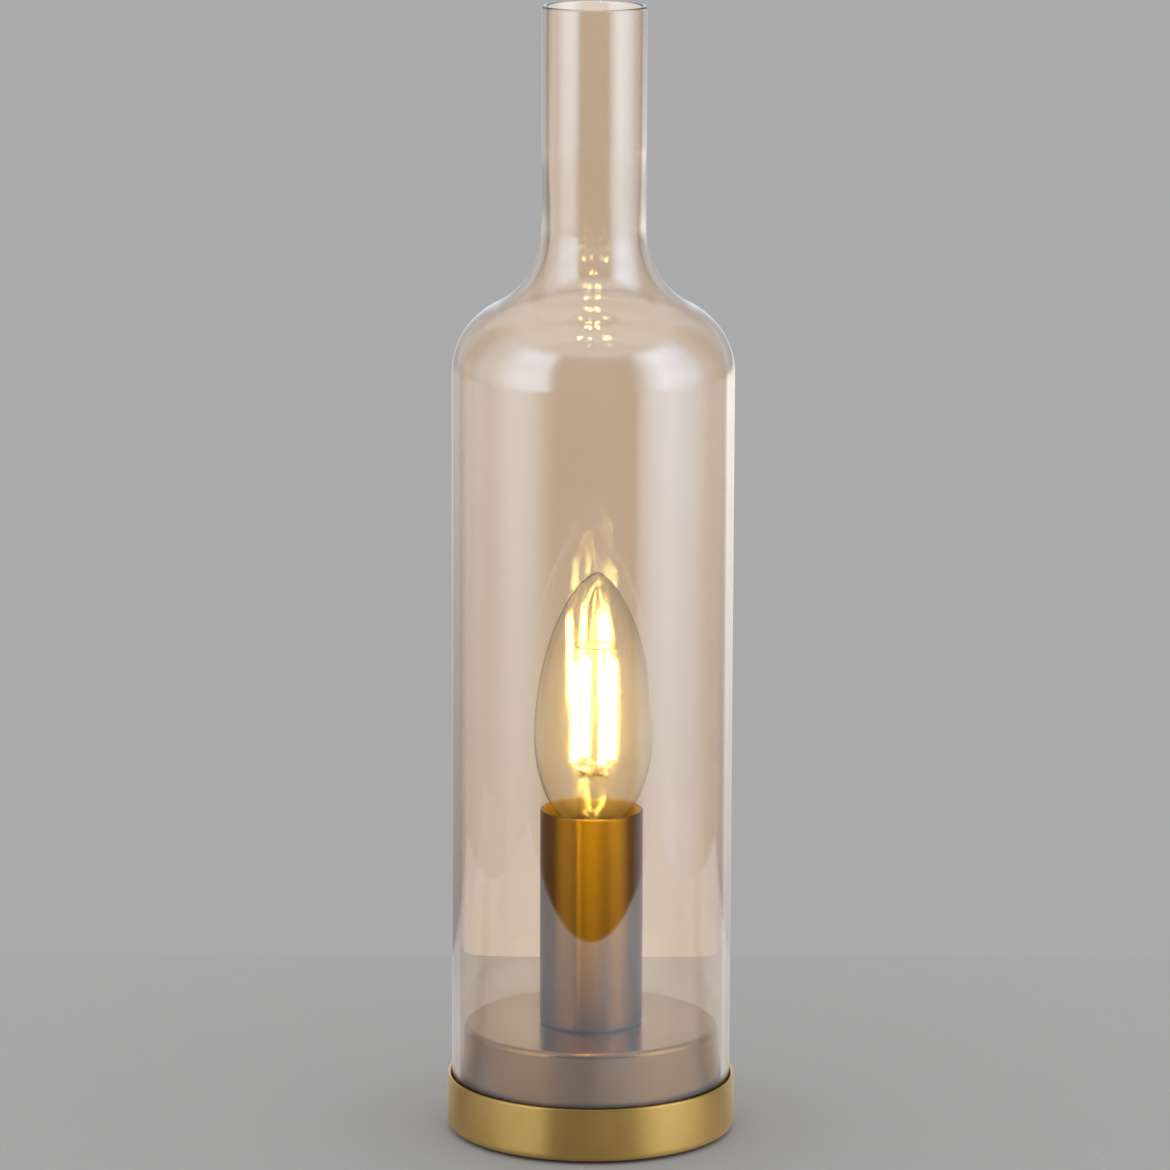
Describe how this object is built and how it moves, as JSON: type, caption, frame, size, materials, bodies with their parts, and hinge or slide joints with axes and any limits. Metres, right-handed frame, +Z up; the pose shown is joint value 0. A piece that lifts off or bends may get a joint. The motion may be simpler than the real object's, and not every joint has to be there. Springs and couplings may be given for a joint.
{
  "type": "bottle table lamp",
  "caption": "Bottle-shaped tinted glass table lamp with a satin brass base, plinth and socket sleeve round a screw-in filament candle bulb; the bottle lifts off.",
  "frame": {"origin": "centre of the rest pad's underside, on the lamp's axis", "axes": "+Z up along the axis of the bottle, -Y towards the viewer of the picture, cord inlet at +Y"},
  "size_m": [0.085, 0.0866, 0.3323],
  "materials": {
    "satin_brass": "satin, brushed round the axis",
    "bright_brass": "bright, stamped",
    "nickel": "nickel plated",
    "zinc_steel": "zinc plated",
    "iron": "rough cast",
    "lustre_glass": "champagne lustre, glossy",
    "clear_glass": "clear, glossy",
    "phenolic": "moulded, matt",
    "nylon": "moulded, matt",
    "rubber": "moulded, matt",
    "felt": "pressed felt",
    "live_insulation": "extruded",
    "neutral_insulation": "extruded",
    "board": "printed board",
    "lit_phosphor": "lit phosphor coating"
  },
  "bodies": {
    "lamp": {"ballast_weight": "iron", "base_nut": "zinc_steel", "base_ring": "satin_brass", "base_washer": "zinc_steel", "block_screw": "zinc_steel", "bottom_plate": "zinc_steel", "contact_rivet": "nickel", "cord_bush": "rubber", "cover_screw_1": "zinc_steel", "cover_screw_2": "zinc_steel", "cover_screw_3": "zinc_steel", "glass_gasket": "rubber", "holder_body": "phenolic", "holder_cap": "phenolic", "holder_screw_live": "nickel", "holder_screw_neutral": "nickel", "live_lead": "live_insulation", "neutral_lead": "neutral_insulation", "nipple": "zinc_steel", "pedestal": "satin_brass", "rest_pad": "felt", "side_contact": "bright_brass", "sleeve_nut": "zinc_steel", "socket_sleeve": "satin_brass", "terminal_block": "nylon", "terminal_screw_live": "nickel", "terminal_screw_neutral": "nickel", "thread_shell": "bright_brass"},
    "contact": {"centre_contact": "bright_brass"},
    "bulb_tip": {"cap_contact": "nickel"},
    "bulb": {"bulb_cap": "nickel", "cap_insulator": "phenolic", "bulb_driver": "board", "bulb_glass": "clear_glass", "bulb_stem": "clear_glass", "filament_bridge": "nickel", "filament_1": "lit_phosphor", "filament_2": "lit_phosphor", "filament_3": "lit_phosphor", "filament_4": "lit_phosphor", "lead_wire_1": "nickel", "lead_wire_2": "nickel"},
    "bottle": {"glass_bottle": "lustre_glass", "glass_neck": "lustre_glass"}
  },
  "joints": [
    {"name": "bottle_lift", "type": "slide", "parent": "lamp", "child": "bottle", "axis": [0, 0, 1], "range_m": [0, 0.17]},
    {"name": "bulb_rise", "type": "slide", "parent": "lamp", "child": "bulb_tip", "axis": [0, 0, 1], "range_m": [0, 0.0128]},
    {"name": "bulb_turn", "type": "hinge", "parent": "bulb_tip", "child": "bulb", "pos_m": [0, 0, 0.0694], "axis": [0, 0, 1], "range_deg": [0, 1620]},
    {"name": "contact_flex", "type": "hinge", "parent": "lamp", "child": "contact", "pos_m": [0, 0.006, 0.0658], "axis": [1, 0, 0], "range_deg": [0, 5], "stiffness_Nm_per_rad": 0.05}
  ],
  "couplings": [
    {"joint": "bulb_rise", "follows": "bulb_turn", "m_per_rad": 0.00044913}
  ]
}
